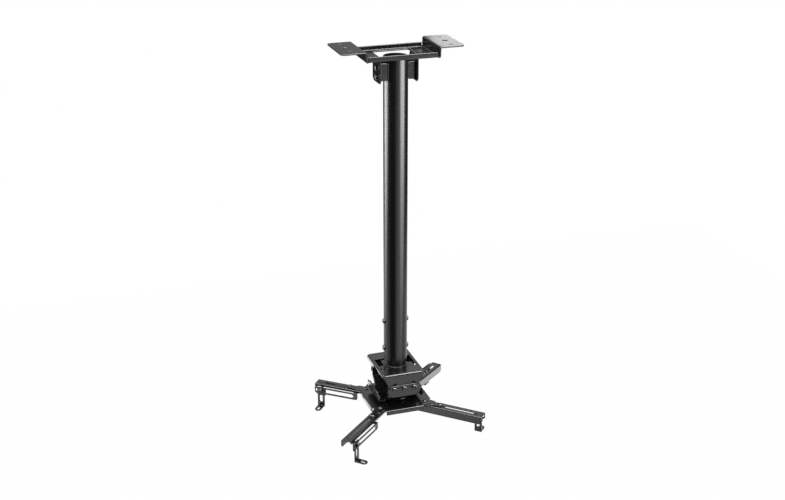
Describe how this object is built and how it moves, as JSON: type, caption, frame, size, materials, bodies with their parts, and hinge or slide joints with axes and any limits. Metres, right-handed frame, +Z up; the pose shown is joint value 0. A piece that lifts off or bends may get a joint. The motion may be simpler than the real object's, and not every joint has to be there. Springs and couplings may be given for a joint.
{
  "type": "projector ceiling mount",
  "caption": "Projector ceiling mount: folded ceiling plate, tilting pole, tilt-and-swivel head and extending slotted arms with adjustable feet.",
  "frame": {"origin": "middle of the ceiling hole pattern, on the top face of the two ears; the mount hangs below it", "axes": "+Z up to the ceiling, +X along the long side of the ceiling plate to the right, -Y to the front"},
  "size_m": [0.4006, 0.3748, 0.9965],
  "materials": {
    "black_coat": "satin",
    "black_bolt": "gloss",
    "zinc_steel": "satin"
  },
  "bodies": {
    "ceiling": {"ceiling_plate": "black_coat", "cheek_left": "black_coat", "cheek_right": "black_coat"},
    "pole": {"head_lug_left": "black_coat", "head_lug_right": "black_coat", "head_bolts": "black_bolt", "head_nuts": "black_bolt", "pole_tube": "black_coat", "stub_tube": "black_coat", "pole_bolts": "black_bolt", "pole_nuts": "black_bolt", "pole_foot_plate": "black_coat", "tilt_frame": "black_coat"},
    "cradle": {"tilt_cradle": "black_coat", "clamp_bar_front": "black_coat", "clamp_bar_back": "black_coat", "tilt_bolts": "black_bolt", "tilt_nuts": "black_bolt", "swivel_hub": "black_coat", "swivel_washer": "zinc_steel", "swivel_bolt": "black_bolt", "swivel_nut": "zinc_steel", "swivel_nut_washer": "zinc_steel"},
    "spider": {"spider_plate": "black_coat", "arm_bolts": "black_bolt", "arm_nuts": "black_bolt"},
    "arm_front_left": {"arm_front_left": "black_coat", "rail_front_left": "black_coat"},
    "carrier_front_left": {"slider_front_left": "black_coat", "foot_bolt_front_left": "black_bolt", "foot_nut_front_left": "black_bolt"},
    "foot_front_left": {"foot_front_left": "black_coat"},
    "arm_front_right": {"arm_front_right": "black_coat", "rail_front_right": "black_coat"},
    "carrier_front_right": {"slider_front_right": "black_coat", "foot_bolt_front_right": "black_bolt", "foot_nut_front_right": "black_bolt"},
    "foot_front_right": {"foot_front_right": "black_coat"},
    "arm_back_left": {"arm_back_left": "black_coat", "rail_back_left": "black_coat"},
    "carrier_back_left": {"slider_back_left": "black_coat", "foot_bolt_back_left": "black_bolt", "foot_nut_back_left": "black_bolt"},
    "foot_back_left": {"foot_back_left": "black_coat"},
    "arm_back_right": {"arm_back_right": "black_coat", "rail_back_right": "black_coat"},
    "carrier_back_right": {"slider_back_right": "black_coat", "foot_bolt_back_right": "black_bolt", "foot_nut_back_right": "black_bolt"},
    "foot_back_right": {"foot_back_right": "black_coat"}
  },
  "joints": [
    {"name": "ceiling_tilt", "type": "hinge", "parent": "ceiling", "child": "pole", "pos_m": [0, 0, -0.053], "axis": [1, 0, 0], "range_deg": [-20, 20]},
    {"name": "head_tilt", "type": "hinge", "parent": "pole", "child": "cradle", "pos_m": [0, 0, -0.877], "axis": [0, 1, 0], "range_deg": [-20, 20]},
    {"name": "head_swivel", "type": "hinge", "parent": "cradle", "child": "spider", "pos_m": [0, 0, -0.93], "axis": [0, 0, 1], "continuous": true},
    {"name": "arm_slide_front_left", "type": "slide", "parent": "spider", "child": "arm_front_left", "axis": [-0.7193, -0.6947, 0], "range_m": [-0.045, 0]},
    {"name": "carrier_slide_front_left", "type": "slide", "parent": "arm_front_left", "child": "carrier_front_left", "axis": [-0.7193, -0.6947, 0], "range_m": [-0.083, 0]},
    {"name": "foot_height_front_left", "type": "slide", "parent": "carrier_front_left", "child": "foot_front_left", "axis": [0, 0, 1], "range_m": [0, 0.022]},
    {"name": "arm_slide_front_right", "type": "slide", "parent": "spider", "child": "arm_front_right", "axis": [0.7193, -0.6947, 0], "range_m": [-0.028, 0.017]},
    {"name": "carrier_slide_front_right", "type": "slide", "parent": "arm_front_right", "child": "carrier_front_right", "axis": [0.7193, -0.6947, 0], "range_m": [-0.083, 0]},
    {"name": "foot_height_front_right", "type": "slide", "parent": "carrier_front_right", "child": "foot_front_right", "axis": [0, 0, 1], "range_m": [0, 0.022]},
    {"name": "arm_slide_back_left", "type": "slide", "parent": "spider", "child": "arm_back_left", "axis": [-0.766, 0.6428, 0], "range_m": [-0.005, 0.04]},
    {"name": "carrier_slide_back_left", "type": "slide", "parent": "arm_back_left", "child": "carrier_back_left", "axis": [-0.766, 0.6428, 0], "range_m": [-0.083, 0]},
    {"name": "foot_height_back_left", "type": "slide", "parent": "carrier_back_left", "child": "foot_back_left", "axis": [0, 0, 1], "range_m": [0, 0.022]},
    {"name": "arm_slide_back_right", "type": "slide", "parent": "spider", "child": "arm_back_right", "axis": [0.766, 0.6428, 0], "range_m": [0, 0.045]},
    {"name": "carrier_slide_back_right", "type": "slide", "parent": "arm_back_right", "child": "carrier_back_right", "axis": [0.766, 0.6428, 0], "range_m": [-0.083, 0]},
    {"name": "foot_height_back_right", "type": "slide", "parent": "carrier_back_right", "child": "foot_back_right", "axis": [0, 0, 1], "range_m": [0, 0.022]}
  ]
}
